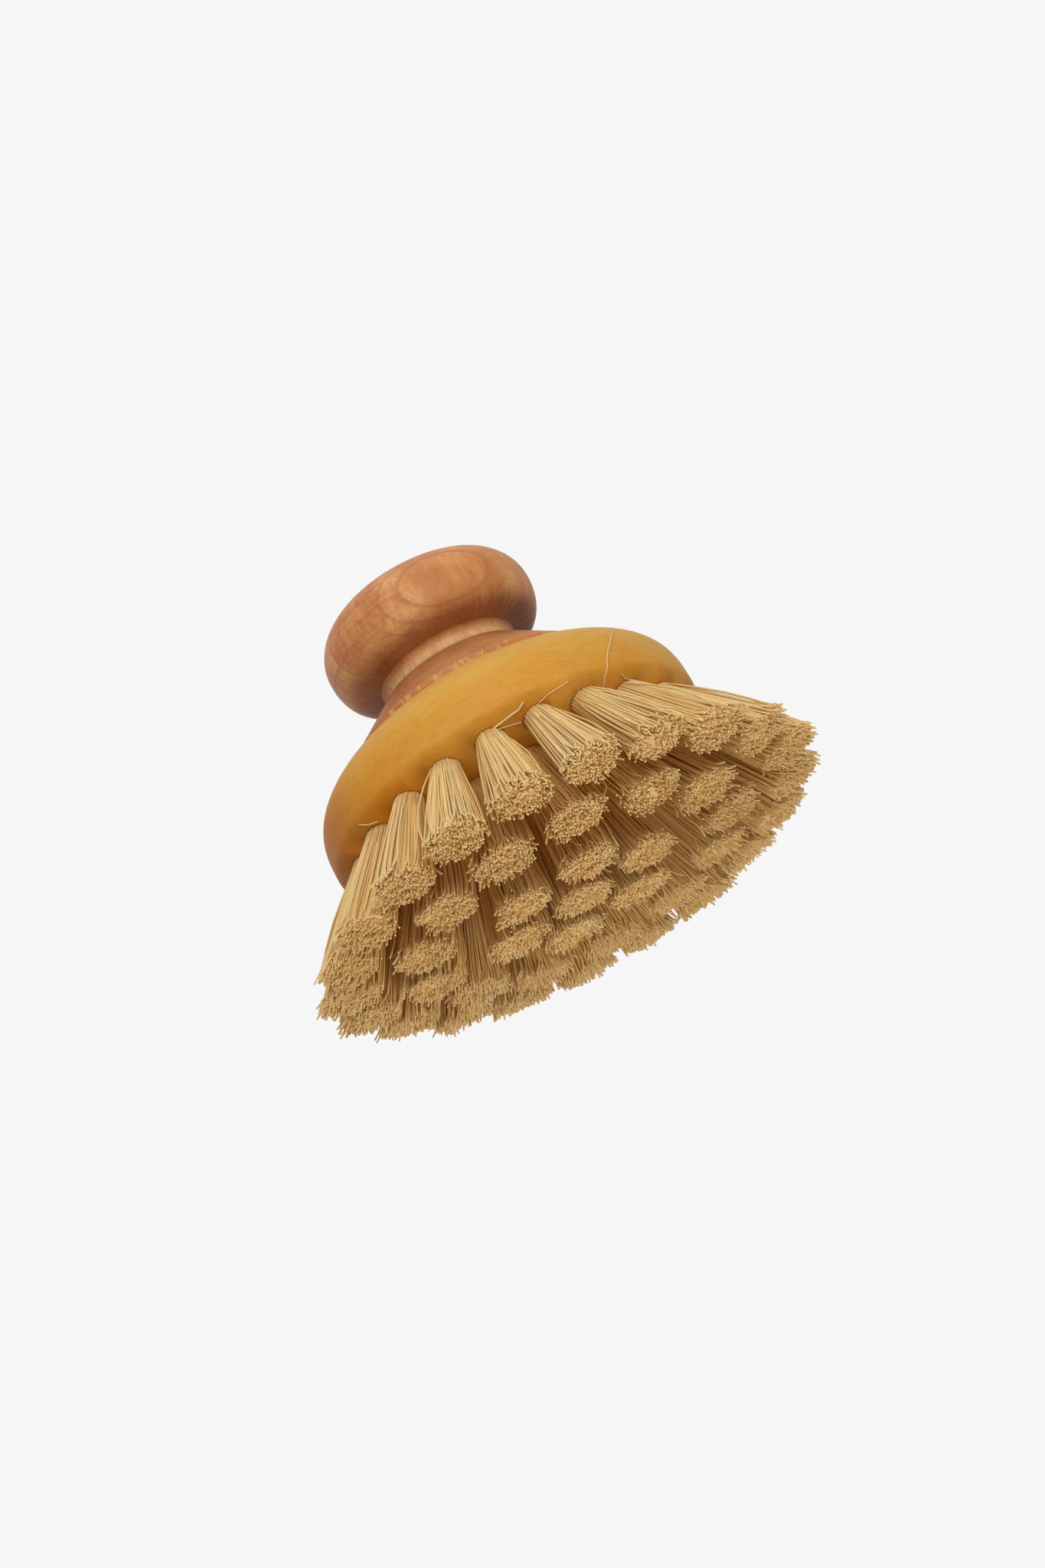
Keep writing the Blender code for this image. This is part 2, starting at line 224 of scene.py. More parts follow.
class POTBRUSH_PG_knob(bpy.types.PropertyGroup):
    """Wood of the knob handle."""

    early_wood: colour("Early wood", "Pale wood between the year rings", paint(224, 163, 98))
    late_wood: colour("Late wood", "Dark line at the end of each year ring", paint(136, 72, 36))
    ray_fleck: colour("Ray fleck", "Reddish flecks where the wood is cut along its rays", paint(192, 100, 54))
    heart: colour("Heart", "Deeper red of the broad bands", paint(194, 123, 64))
    # Mixed in as end grain on the crown and underside, and as painted shade under the knob
    end_grain_and_shade: colour("End grain", "Dark wood where the grain runs into the surface", paint(112, 50, 22))
    # Painted light: pale band where the cove faces the lamps
    cove_painted_light: colour("Sanded cove", "Pale wood that the sanding leaves in the cove", paint(226, 186, 138))
    ring_spacing: length("Ring spacing", "Distance between year rings", 0.00145)
    pith_distance: length("Pith distance", "How far the middle of the tree lay from the knob's axis", 0.0450)
    ring_heading: FloatProperty(
        name="Ring heading", description="Side of the knob where a ring is cut flat", subtype="ANGLE",
        default=math.radians(-70),
    )
    edge_round: length("Edge round", "Radius on the turned edges", 0.00035)


class POTBRUSH_PG_head(bpy.types.PropertyGroup):
    """Wood of the head block."""

    waxed: colour("Waxed wood", "Yellow waxed side grain", paint(212, 161, 64))
    # Painted shade: the head is mixed towards this deeper yellow low down by the tufts and towards its left end
    shaded: colour("Deep yellow", "Deeper yellow of the soft streaks", paint(216, 140, 30))
    # Also painted shade, together with end grain, at the head's left end
    end_grain_and_shade: colour("End grain", "Darker wood at the two ends of the grain", paint(182, 98, 28))
    bled: colour("Bled red", "Red patches along the joint", paint(194, 112, 56))
    spared: colour("Spared yellow", "Yellow patches along the joint", paint(210, 154, 82))
    # A brown ring round each hole, darkest at the hole's mouth
    hole_ring_brown: colour("Scorched", "Brown that the drill leaves round each hole", paint(132, 80, 36))
    hole_ring_width: length("Stain width", "Width of the brown ring round each hole", 0.00025)


class POTBRUSH_PG_fibre(bpy.types.PropertyGroup):
    """Plant fibre of the tufts."""

    per_tuft: IntProperty(name="Fibres", description="Fibres in each tuft", min=20, max=800, default=540)
    radius: length("Radius", "Radius of one fibre", 0.000172)
    raggedness: length("Raggedness", "How unevenly the fibres are cut", 0.00032)
    bow: length("Bow", "How far a fibre bows sideways", 0.00045)
    curled: share("Curled", "Share of the fibres with a curled tip", 0.65)
    stray: share("Stray", "Share of the fibres that stand away from their tuft", 0.05)
    pale: colour("Pale straw", "Lightest fibres", paint(237, 209, 150))
    deep: colour("Deep straw", "Darkest fibres", paint(220, 176, 105))
    # Painted shade: golden straw for fibres deep in the brush, where shade and light bounced between fibres would fall
    in_shade: colour("Sheltered straw", "Golden fibres deep between the tufts", paint(228, 176, 98))
    cut_end: colour("Cut end", "Ends of the fibres", paint(228, 186, 122))


class POTBRUSH_PG_studio(bpy.types.PropertyGroup):
    """Light and ground."""

    key: FloatProperty(name="Key", description="Soft lamp over the camera", unit="POWER", min=0, default=2.28)
    fill: FloatProperty(name="Fill", description="Soft lamp low beside the camera", unit="POWER", min=0, default=2.28)
    top: FloatProperty(name="Top", description="Soft lamp above the brush", unit="POWER", min=0, default=0.9)
    ambient: FloatProperty(name="Ambient", description="Light from all round", min=0, default=0.42)
    ground: colour("Ground", "Pale ground", paint(246, 246, 246))


# ---- shapes


def face_height(radius):
    """Height of the drilled face at this distance from the axis."""
    return RIM_HEIGHT - FACE_CROWN * math.sqrt(max(0.0, 1 - (radius / HEAD_RADIUS) ** FACE_FULLNESS))


def trim_height(radius):
    """Height of the shallow dome that the tips are cut to."""
    return max(0.0, TRIM_RADIUS - math.sqrt(TRIM_RADIUS ** 2 - radius ** 2) - TRIM_FLAT_DEPTH)


def shoulder(share_up):
    """Radius and height on the head's shoulder, from 0 at the rim to 1 at the joint."""
    radius = HEAD_RADIUS - (HEAD_RADIUS - JOINT_RADIUS) * share_up ** SHOULDER_FULLNESS
    return radius, RIM_HEIGHT + BLOCK_RISE * share_up


def quarter(count):
    """Quarter-turn angles for the points of a rounded stretch, without its first point."""
    return [math.pi / 2 * step / count for step in range(1, count + 1)]


def head_outline():
    """Profile of the head block from the middle of its face round to the recess."""
    points = [(0, face_height(0))]
    for angle in quarter(FACE_POINTS):
        radius = HEAD_RADIUS * math.sin(angle)
        points.append((radius, face_height(radius)))
    points += [shoulder(math.sin(angle)) for angle in quarter(SHOULDER_POINTS)]
    points += [(RECESS_RADIUS, JOINT_HEIGHT), (RECESS_RADIUS, RECESS_FLOOR), (0, RECESS_FLOOR)]
    return points


def knob_outline():
    """Profile of the knob handle from the spigot up to the crown."""
    points = [
        (0, SPIGOT_BOTTOM),
        (SPIGOT_RADIUS, SPIGOT_BOTTOM),
        (SPIGOT_RADIUS, FOOT_HEIGHT),
        (JOINT_RADIUS, FOOT_HEIGHT),
        (JOINT_RADIUS - FOOT_EDGE_TAPER, FOOT_TOP),
        (COLLAR_RADIUS, COLLAR_HEIGHT),
    ]
    cove_height = COLLAR_HEIGHT + COVE_HALF_HEIGHT
    for step in range(1, COVE_POINTS + 1):
        angle = -math.pi / 2 + (math.pi / 2 + COVE_SWEEP) * step / COVE_POINTS
        points.append((
            COLLAR_RADIUS - COVE_DEPTH * math.cos(angle),
            cove_height + COVE_HALF_HEIGHT * math.sin(angle),
        ))
    under_radius, under_height = points[-1]
    widest = under_height + KNOB_UNDER_HEIGHT
    for angle in quarter(UNDER_POINTS):
        spread = math.sin(angle) ** KNOB_UNDER_FULLNESS
        points.append((
            under_radius + (KNOB_RADIUS - under_radius) * spread,
            widest - KNOB_UNDER_HEIGHT * math.cos(angle),
        ))
    for angle in quarter(CROWN_POINTS)[:-1]:
        points.append((
            KNOB_RADIUS * math.cos(angle) ** KNOB_CROWN_FULLNESS,
            widest + KNOB_CROWN_HEIGHT * math.sin(angle),
        ))
    points.append((0, widest + KNOB_CROWN_HEIGHT))
    return points


def turned(outline, steps):
    """Spin a profile of (radius, height) points about the brush's axis."""
    bm = bmesh.new()
    points = [bm.verts.new((radius, 0, height)) for radius, height in outline]
    edges = [bm.edges.new(pair) for pair in zip(points, points[1:])]
    bmesh.ops.spin(
        bm, geom=points + edges, cent=(0, 0, 0), axis=(0, 0, 1),
        angle=2 * math.pi, steps=steps, use_merge=True,
    )
    bmesh.ops.remove_doubles(bm, verts=bm.verts, dist=SAME_POINT)
    bmesh.ops.recalc_face_normals(bm, faces=bm.faces)
    return bm


def round_edges(bm, places, width):
    """Round the turned edges that run through these (radius, height) places."""
    def on_place(vertex):
        radius = vertex.co.xy.length
        return any(abs(radius - r) < SAME_PLACE and abs(vertex.co.z - z) < SAME_PLACE for r, z in places)

    rings = [
        edge for edge in bm.edges
        if all(on_place(end) for end in edge.verts) and abs(edge.verts[0].co.z - edge.verts[1].co.z) < SAME_POINT
    ]
    bmesh.ops.bevel(
        bm, geom=rings, offset=width, offset_type="OFFSET", affect="EDGES", segments=EDGE_SEGMENTS,
        profile=0.5, material=-1, clamp_overlap=True,
    )


def finished(name, mesh, slot, nodes, *materials, sharp=None):
    """Put a piece in the scene, give it its materials and let it stand for CAD nodes."""
    mesh.name = name
    if sharp is not None:
        mesh.shade_smooth()
        mesh.set_sharp_from_angle(angle=sharp)
    mesh.materials.clear()
    for finish in materials:
        mesh.materials.append(finish)
    piece = bpy.data.objects.new(name, mesh)
    bpy.context.scene.collection.objects.link(piece)
    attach(piece, "root")
    if nodes:
        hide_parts(*nodes)
    return piece


def mesh_of(bm, name):
    """A bmesh as a mesh."""
    mesh = bpy.data.meshes.new(name)
    bm.to_mesh(mesh)
    bm.free()
    return mesh


# ---- node trees


class Tree:
    """Adds nodes to a node tree and joins them up."""

    def __init__(self, tree):
        self.tree = tree

    def feed(self, socket, value):
        """Link an output to a socket, or set the socket's own value."""
        if isinstance(value, bpy.types.NodeSocket):
            self.tree.links.new(value, socket)
        elif socket.type == "RGBA":
            socket.default_value = (*value, 1.0)
        else:
            socket.default_value = value

    def add(self, kind, inputs=(), **settings):
        """Add a node with its settings, then its inputs by name or number."""
        node = self.tree.nodes.new(kind)
        for setting, value in settings.items():
            setattr(node, setting, value)
        for socket, value in dict(inputs).items():
            self.feed(node.inputs[socket], value)
        return node

    def math(self, operation, *values):
        """One Math node."""
        return self.add("ShaderNodeMath", enumerate(values), operation=operation).outputs[0]

    times = partialmethod(math, "MULTIPLY")
    plus = partialmethod(math, "ADD")
    minus = partialmethod(math, "SUBTRACT")

    def distance(self, first, second):
        """Length of the slope over two sides at a right angle."""
        return self.math("SQRT", self.plus(self.times(first, first), self.times(second, second)))

    def swing(self, value, size):
        """A value from 0 to 1 as one of this size in all, half of it below nought."""
        return self.times(self.minus(value, 0.5), size)

    def vector(self, operation, *values):
        """One Vector Math node; Scale takes its number last."""
        if operation == "SCALE":
            inputs = {"Vector": values[0], "Scale": values[1]}
        else:
            inputs = enumerate(values)
        node = self.add("ShaderNodeVectorMath", inputs, operation=operation)
        return node.outputs["Value" if operation == "LENGTH" else "Vector"]

    def parts(self, vector):
        """The three numbers of a vector."""
        return self.add("ShaderNodeSeparateXYZ", {0: vector}).outputs[:]

    def join(self, x, y, z):
        """A vector from three numbers."""
        return self.add("ShaderNodeCombineXYZ", {0: x, 1: y, 2: z}).outputs[0]

    def wrapped(self, x, y, z, around, along):
        """A vector for noise on a turned piece, stretched around it and along its axis."""
        heading = self.vector("NORMALIZE", self.join(x, y, 0.0))
        return self.vector("ADD", self.vector("SCALE", heading, around), self.join(0.0, 0.0, self.times(z, along)))

    def mix(self, factor, first, second):
        """Mix two colours."""
        node = self.add("ShaderNodeMix", data_type="RGBA")
        for socket, value in ((0, factor), (6, first), (7, second)):
            self.feed(node.inputs[socket], value)
        return node.outputs[2]

    def span(self, value, low, high, to_low=0.0, to_high=1.0):
        """Turn a range of a value into another range, smoothly, and stop at its ends."""
        inputs = {"Value": value, "From Min": low, "From Max": high, "To Min": to_low, "To Max": to_high}
        return self.add("ShaderNodeMapRange", inputs, interpolation_type="SMOOTHSTEP").outputs["Result"]

    def noise(self, vector, scale, detail, roughness=0.5):
        """A cloudy value from 0 to 1."""
        inputs = {"Vector": vector, "Scale": scale, "Detail": detail, "Roughness": roughness}
        return self.add("ShaderNodeTexNoise", inputs).outputs["Fac"]

    def place(self):
        """Object coordinates in millimetres."""
        coordinates = self.add("ShaderNodeTexCoord").outputs["Object"]
        return self.vector("SCALE", coordinates, 1 / MM)

    def group(self, lay_out, inputs):
        """Place the node group that lay_out lays out, and make it the first time."""
        tree = bpy.data.node_groups.get(lay_out.__name__) or node_group(lay_out, inputs)
        return self.add("ShaderNodeGroup", inputs, node_tree=tree).outputs


def node_group(lay_out, inputs):
    """A shader node group that takes a vector and numbers. lay_out gives its outputs by name."""
    tree = bpy.data.node_groups.new(lay_out.__name__, "ShaderNodeTree")
    for name in inputs:
        kind = "NodeSocketVector" if name == "Vector" else "NodeSocketFloat"
        tree.interface.new_socket(name, in_out="INPUT", socket_type=kind)
    layout = Tree(tree)
    outputs = lay_out(layout, layout.add("NodeGroupInput").outputs)
    for name in outputs:
        tree.interface.new_socket(name, in_out="OUTPUT", socket_type="NodeSocketFloat")
    layout.add("NodeGroupOutput", outputs)
    return tree


def year_rings(tree, given):
    """Growth rings, streaks, ray flecks, pores and clouds of solid wood. In the vector, X runs from
    the pith to the bark, Y along the rings and Z along the grain, in millimetres."""
    def figure(stretch, detail, roughness=0.5):
        return tree.noise(tree.vector("MULTIPLY", given["Vector"], stretch), 1.0, detail, roughness)

    across, along_ring = tree.parts(given["Vector"])[:2]
    from_pith = tree.plus(across, given["Pith Distance"])
    radius = tree.math("SQRT", tree.plus(tree.math("POWER", from_pith, 2.0), tree.math("POWER", along_ring, 2.0)))
    radius = tree.plus(radius, tree.swing(figure((0.06, 0.06, 0.02), 2.0), given["Wander"]))
    radius = tree.plus(radius, tree.swing(figure((0.35, 0.35, 0.09), 2.0), 0.22))
    year = tree.math("DIVIDE", tree.minus(radius, given["First Ring"]), given["Ring Spacing"])
    season = tree.math("FRACT", year)
    number = tree.math("FLOOR", year)
    strength = tree.add("ShaderNodeTexWhiteNoise", {"W": number}, noise_dimensions="1D").outputs["Value"]
    line = tree.times(tree.span(season, 0.62, 0.95), tree.span(season, 1.0, 0.93))
    late = tree.times(tree.math("POWER", season, 4.0), 0.35)
    rings = tree.times(tree.math("MAXIMUM", line, late), tree.math("MULTIPLY_ADD", strength, 0.5, 0.5))
    fade = tree.span(figure((0.20, 0.20, 0.16), 1.0), 0.36, 0.58, 0.50, 1.0)
    return {
        "Rings": tree.times(rings, fade),
        "Streaks": tree.span(figure((2.0, 1.0, 0.22), 4.0, 0.7), 0.42, 0.66),
        "Flecks": tree.span(figure((0.36, 0.80, 0.42), 5.0, 0.66), 0.48, 0.64),
        "Pores": tree.span(figure((7.0, 7.0, 0.8), 2.0, 0.6), 0.56, 0.72),
        "Clouds": tree.span(figure((0.12, 0.12, 0.05), 3.0, 0.55), 0.32, 0.68),
    }


def turning_marks(tree, given):
    """Fine grooves that the gouge and the sanding leave round a turned piece, and streaks up it."""
    x, y, z = tree.parts(given["Vector"])
    drift = tree.noise(given["Vector"], 0.12, 1.0)
    path = tree.join(tree.distance(x, y), tree.times(drift, 0.8), z)
    fine = tree.noise(path, 6.0, 3.0, 0.7)
    broad = tree.noise(path, 0.9, 1.0)
    streaks = tree.noise(tree.wrapped(x, y, z, 24.0, 0.16), 1.0, 3.0, 0.6)
    return {"Marks": tree.math("MULTIPLY_ADD", broad, 0.5, fine), "Streaks": tree.span(streaks, 0.34, 0.66)}


def joint_patches(tree, given):
    """Red and yellow patches with ragged edges, in a band along the joint. Lengths in millimetres."""
    x, y, z = tree.parts(given["Vector"])
    patch = tree.noise(tree.wrapped(x, y, z, 12.0, 0.30), 1.0, 3.0, 0.65)
    ragged = tree.plus(z, tree.swing(tree.noise(given["Vector"], 1.5, 3.0), 0.9))
    under_foot = tree.span(z, FOOT_TOP / MM + 0.05, FOOT_TOP / MM - 0.05)
    over_head = tree.span(ragged, JOINT_HEIGHT / MM - 0.35, JOINT_HEIGHT / MM - 0.15)
    band = tree.times(under_foot, over_head)
    return {
        "Red": tree.times(band, tree.span(patch, 0.47, 0.57)),
        "Yellow": tree.times(band, tree.span(patch, 0.49, 0.40)),
    }


def drilled_rim(tree, given):
    """Brown ring round every hole of one row, and the edge of the hole. Lengths in millimetres."""
    x, y, z = tree.parts(given["Vector"])
    radius = tree.distance(x, y)
    half = tree.math("DIVIDE", math.pi, given["Count"])
    turn = tree.minus(tree.math("ARCTAN2", y, x), given["Phase"])
    turn = tree.math("WRAP", turn, half, tree.times(half, -1.0))
    outward = tree.minus(tree.times(radius, tree.math("COSINE", turn)), given["Root Radius"])
    aside = tree.times(radius, tree.math("SINE", turn))
    rise = tree.minus(z, given["Root Height"])
    across = tree.plus(
        tree.times(outward, tree.math("COSINE", given["Lean"])),
        tree.times(rise, tree.math("SINE", given["Lean"])),
    )
    distance = tree.distance(across, aside)
    uneven = tree.plus(distance, tree.swing(tree.noise(given["Vector"], 1.6, 2.0), 0.5))
    hole_ring_edge = tree.plus(given["Bore"], tree.times(given["Width"], 1.6))
    return {
        "Stain": tree.span(uneven, hole_ring_edge, given["Bore"]),
        "Mouth": tree.span(distance, tree.plus(given["Bore"], 0.35), given["Bore"]),
    }


def straw_shade(tree, given):
    """Shade of a fibre: its own tone, streaks and a darker root. All from 0 to 1."""
    streaks = tree.noise(given["Vector"], 0.9, 2.0)
    shade = tree.plus(tree.times(given["Tone"], 0.75), tree.times(streaks, 0.45))
    shade = tree.minus(shade, tree.times(tree.span(given["Along"], 0.16, 0.0), 0.45))
    return {"Shade": tree.minus(shade, 0.10)}


def principled(name, viewport, **constants):
    """A material with a Principled shader; underscores in the names stand for spaces."""
    finish = bpy.data.materials.new(name)
    finish.use_nodes = True
    finish.diffuse_color = (*viewport, 1.0)
    shader = finish.node_tree.nodes["Principled BSDF"]
    for socket, value in constants.items():
        shader.inputs[socket.replace("_", " ")].default_value = value
    return finish, Tree(finish.node_tree), shader.inputs


# ---- finishes


def knob_finish(knob, head):
    """Oiled red wood with year rings, ray flecks and turning marks, painted shade under the knob and on its foot, and
    painted light on the cove.
    """
    finish, tree, shader = principled(
        "oiled_red_wood", knob.early_wood, Coat_Weight=0.08, Coat_Roughness=0.40, IOR=1.38,
    )
    place = tree.place()
    tilted = tree.add("ShaderNodeMapping", {"Vector": place, "Rotation": (0.02, 0.03, -knob.ring_heading)}).outputs[0]
    flat_ring = KNOB_RADIUS / MM + knob.pith_distance / MM - FLAT_RING_DEPTH
    grain = tree.group(year_rings, {
        "Vector": tilted, "Pith Distance": knob.pith_distance / MM, "First Ring": flat_ring,
        "Ring Spacing": knob.ring_spacing / MM, "Wander": 0.7,
    })
    turning = tree.group(turning_marks, {"Vector": place})
    marks = turning["Marks"]
    height = tree.parts(place)[2]
    along_ring = tree.parts(tilted)[1]
    upright = tree.parts(tree.add("ShaderNodeTexCoord").outputs["Normal"])[2]
    aside = tree.math("ABSOLUTE", along_ring)
    ring_strength = tree.times(tree.span(aside, 7.0, 15.0, 0.62, 0.34), tree.span(height, *RINGS_FROM))
    fleck_strength = tree.times(tree.span(along_ring, -3.0, -11.0, 0.14, 0.66), tree.span(height, *FLECKS_FROM))
    wood = tree.mix(tree.times(grain["Clouds"], 0.95), knob.early_wood, knob.heart)
    for part, strength, stain in (
        ("Streaks", 0.38, knob.ray_fleck),
        ("Rings", ring_strength, knob.late_wood),
        ("Flecks", fleck_strength, knob.ray_fleck),
        ("Pores", 0.50, knob.late_wood),
    ):
        wood = tree.mix(tree.times(grain[part], strength), wood, stain)
    bands = tree.noise(tree.join(tree.times(along_ring, 0.10), 0.0, tree.times(height, 1.3)), 1.0, 3.0, 0.6)
    bands = tree.times(tree.span(bands, 0.46, 0.62), tree.span(along_ring, -2.0, -12.0, 0.05, 0.32))
    wood = tree.mix(bands, wood, knob.late_wood)
    # End grain on the crown and underside; the underside gets more, and one side more again, as painted shade under the
    # knob
    under_grain_and_shade, crown = tree.span(upright, -0.25, -0.95, 0.0, 0.68), tree.span(upright, 0.60, 1.0, 0.0, 0.30)
    ends = tree.math("MAXIMUM", under_grain_and_shade, crown)
    ends = tree.times(ends, tree.span(turning["Streaks"], 0.0, 1.0, 1.0, 0.75))
    ends = tree.times(ends, tree.span(along_ring, 2.0, 16.0, 0.80, 1.35))
    wood = tree.mix(ends, wood, knob.end_grain_and_shade)
    # Painted light: the cove just above the collar edge is mixed towards a pale colour, broken by the turning streaks
    low, high = COLLAR_HEIGHT / MM, (COLLAR_HEIGHT + COVE_HALF_HEIGHT * 1.2) / MM
    cove = tree.times(tree.span(height, low - 0.15, low + 0.10), tree.span(height, high + 0.5, high - 0.9))
    cove = tree.times(cove, tree.span(turning["Streaks"], 0.0, 1.0, 1.0, 0.40))
    wood = tree.mix(cove, wood, knob.cove_painted_light)
    # Painted shade: the foot below the collar edge, under the knob, is mixed towards late wood
    wood = tree.mix(tree.span(height, low + 0.05, low - 0.35, 0.0, 0.42), wood, knob.late_wood)
    patches = tree.group(joint_patches, {"Vector": place})
    wood = tree.mix(tree.times(patches["Red"], 0.80), wood, head.bled)
    wood = tree.mix(tree.times(patches["Yellow"], 0.80), wood, head.spared)
    tree.feed(shader["Base Color"], wood)
    rough = tree.math("MULTIPLY_ADD", grain["Pores"], 0.15, tree.span(marks, 0.2, 1.2, 0.46, 0.56))
    tree.feed(shader["Roughness"], rough)
    relief = tree.minus(tree.times(marks, 0.5), tree.times(grain["Pores"], 0.6))
    bump = tree.add("ShaderNodeBump", {"Strength": 0.22, "Distance": 0.00004, "Height": relief})
    tree.feed(shader["Normal"], bump.outputs[0])
    return finish


def head_finish(head):
    """Waxed yellow wood with painted shade low down and at its left end, brown round its holes, red where the knob's
    stain bled into its edge.
    """
    finish, tree, shader = principled(
        "waxed_yellow_wood", head.waxed, Coat_Weight=0.03, Coat_Roughness=0.45, IOR=1.32,
    )
    place = tree.place()
    x, y, z = tree.parts(place)
    lying = tree.join(y, z, x)
    grain = tree.group(year_rings, {
        "Vector": lying, "Pith Distance": 70.0, "First Ring": 0.4, "Ring Spacing": 1.3, "Wander": 4.0,
    })
    marks = tree.group(turning_marks, {"Vector": place})["Marks"]
    # Painted shade: deeper yellow low down towards the face and tufts and towards the left end; the clouds add the
    # wood's own uneven tone
    deep = tree.plus(tree.span(z, 33.0, 22.0, 0.0, 0.50), tree.span(x, 8.0, -30.0, 0.0, 0.45))
    deep = tree.plus(deep, tree.math("MULTIPLY_ADD", grain["Clouds"], 0.44, -0.20))
    wood = tree.mix(deep, head.waxed, head.shaded)
    for part, strength in (("Rings", 0.12), ("Streaks", 0.10), ("Flecks", 0.16), ("Pores", 0.20)):
        wood = tree.mix(tree.times(grain[part], strength), wood, head.end_grain_and_shade)
    # Painted shade: only the left end is darkened towards the end-grain colour, end grain and shade together
    wood = tree.mix(tree.span(x, -20.0, -33.0, 0.0, 0.66), wood, head.end_grain_and_shade)
    patches = tree.group(joint_patches, {"Vector": place})
    wood = tree.mix(tree.times(patches["Red"], 0.85), wood, head.bled)
    stain, mouth = 0.0, 0.0
    for name, count, phase, root_radius, fan_height in ROWS:
        rim = tree.group(drilled_rim, {
            "Vector": place, "Count": float(count), "Phase": phase, "Root Radius": root_radius / MM,
            "Root Height": face_height(root_radius) / MM, "Lean": math.atan2(root_radius, fan_height),
            "Bore": BORE_RADIUS / MM, "Width": head.hole_ring_width / MM,
        })
        stain = tree.math("MAXIMUM", rim["Stain"], stain)
        mouth = tree.math("MAXIMUM", rim["Mouth"], mouth)
    # Darker brown ring round each hole, darkest at its mouth
    wood = tree.mix(tree.times(stain, 0.60), wood, head.hole_ring_brown)
    tree.feed(shader["Base Color"], wood)
    rough = tree.math("MULTIPLY_ADD", stain, 0.3, tree.span(marks, 0.2, 1.2, 0.50, 0.60))
    tree.feed(shader["Roughness"], rough)
    height = tree.minus(tree.times(marks, 0.4), tree.times(grain["Pores"], 0.4))
    height = tree.minus(height, tree.times(mouth, 3.0))
    bump = tree.add("ShaderNodeBump", {"Strength": 0.2, "Distance": 0.00005, "Height": height})
    tree.feed(shader["Normal"], bump.outputs[0])
    return finish


def fibre_finish(name, fibre, first, second, roughness):
    """Dry plant fibre between two colours, by each fibre's own tone, with golden painted shade deep in the brush."""
    finish, tree, shader = principled(name, first, IOR=1.35)
    tone, shelter, along = (tree.add("ShaderNodeAttribute", attribute_name=label).outputs["Fac"] for label in LABELS)
    shade = tree.group(straw_shade, {"Vector": tree.place(), "Tone": tone, "Along": along})["Shade"]
    straw = tree.mix(shade, second, first)
    # Painted shade: fibres deep in the brush are mixed towards the golden in-shade straw
    straw = tree.mix(tree.times(shelter, 0.70), straw, fibre.in_shade)
    tree.feed(shader["Base Color"], straw)
    tree.feed(shader["Roughness"], tree.span(tone, 0.0, 1.0, roughness, roughness + 0.12))
    return finish


def glue_finish(head):
    """Amber glue in the joint, stained by the woods that it holds."""
    finish, tree, shader = principled("amber_glue", head.bled, Coat_Weight=0.1)
    place = tree.place()
    beads = tree.noise(place, 1.2, 2.0)
    patches = tree.group(joint_patches, {"Vector": place})
    glue = tree.mix(patches["Yellow"], tree.mix(beads, head.shaded, head.bled), head.spared)
    tree.feed(shader["Base Color"], glue)
    tree.feed(shader["Roughness"], tree.span(beads, 0.3, 0.7, 0.4, 0.6))
    return finish


def wire_finish():
    """Bright drawn steel wire with fine draw marks."""
    finish, tree, shader = principled("drawn_wire", (0.6, 0.6, 0.58), Metallic=1.0)
    draw = tree.noise(tree.place(), 9.0, 3.0, 0.6)
    tree.feed(shader["Base Color"], tree.mix(draw, (0.50, 0.50, 0.48), (0.66, 0.66, 0.64)))
    tree.feed(shader["Roughness"], tree.span(draw, 0.3, 0.7, 0.22, 0.38))
    return finish


# ---- fibres


def scatter(rng, size):
    """A random step aside, small ones most often."""
    return Vector((rng.gauss(0, size), rng.gauss(0, size)))


def spread_spots(count, rng):
    """Spots over the unit disc, a little closer together at its edge, each nudged a little."""
    spots = []
    for step in range(count):
        radius = ((step + 0.5) / count) ** SPOT_POWER
        angle = GOLDEN_ANGLE * step
        spot = Vector((math.cos(angle), math.sin(angle))) * radius
        nudge = Vector((rng.uniform(-1, 1), rng.uniform(-1, 1))) / math.sqrt(count)
        spot = spot + nudge * SPOT_NUDGE
        spots.append(spot if spot.length < 1 else spot.normalized())
    return spots


def tip_centre(root, lean):
    """Where a tuft's axis meets the cut, for a tuft at angle zero."""
    radius = root.x
    for step in range(TIP_SEARCH_STEPS):
        radius = root.x + (root.z - trim_height(radius)) * math.tan(lean)
    return Vector((radius, 0, trim_height(radius)))


def row_axis(root_radius, fan_height):
    """Where the axis of a row's hole at angle zero meets the face, and its lean."""
    return Vector((root_radius, 0, face_height(root_radius))), math.atan2(root_radius, fan_height)


def row_turns(count, phase):
    """The turn round the brush's axis to each hole of a row."""
    return [Matrix.Rotation(phase + 2 * math.pi * step / count, 4, "Z") for step in range(count)]


def in_tuft(root, lean, spot, tip_spot, place):
    """A place in a tuft at angle zero: 0 is at the head's face, 1 at the cut, and less is in the hole."""
    across = Vector((math.cos(lean), 0, math.sin(lean)))
    base = (across * spot.x + Vector((0, 1, 0)) * spot.y) * PACKED_RADIUS
    centre = tip_centre(root, lean)
    outward = TIP_OUTWARD_SHARE if tip_spot.x > 0 else 1.0
    tip = centre + Vector((tip_spot.x * outward, tip_spot.y, 0)) * TIP_RADIUS
    tip.z = trim_height(tip.xy.length)
    flare = max(0.0, place) ** FLARE_POWER
    return root + (centre - root) * place + base * (1 - flare) + (tip - centre) * flare


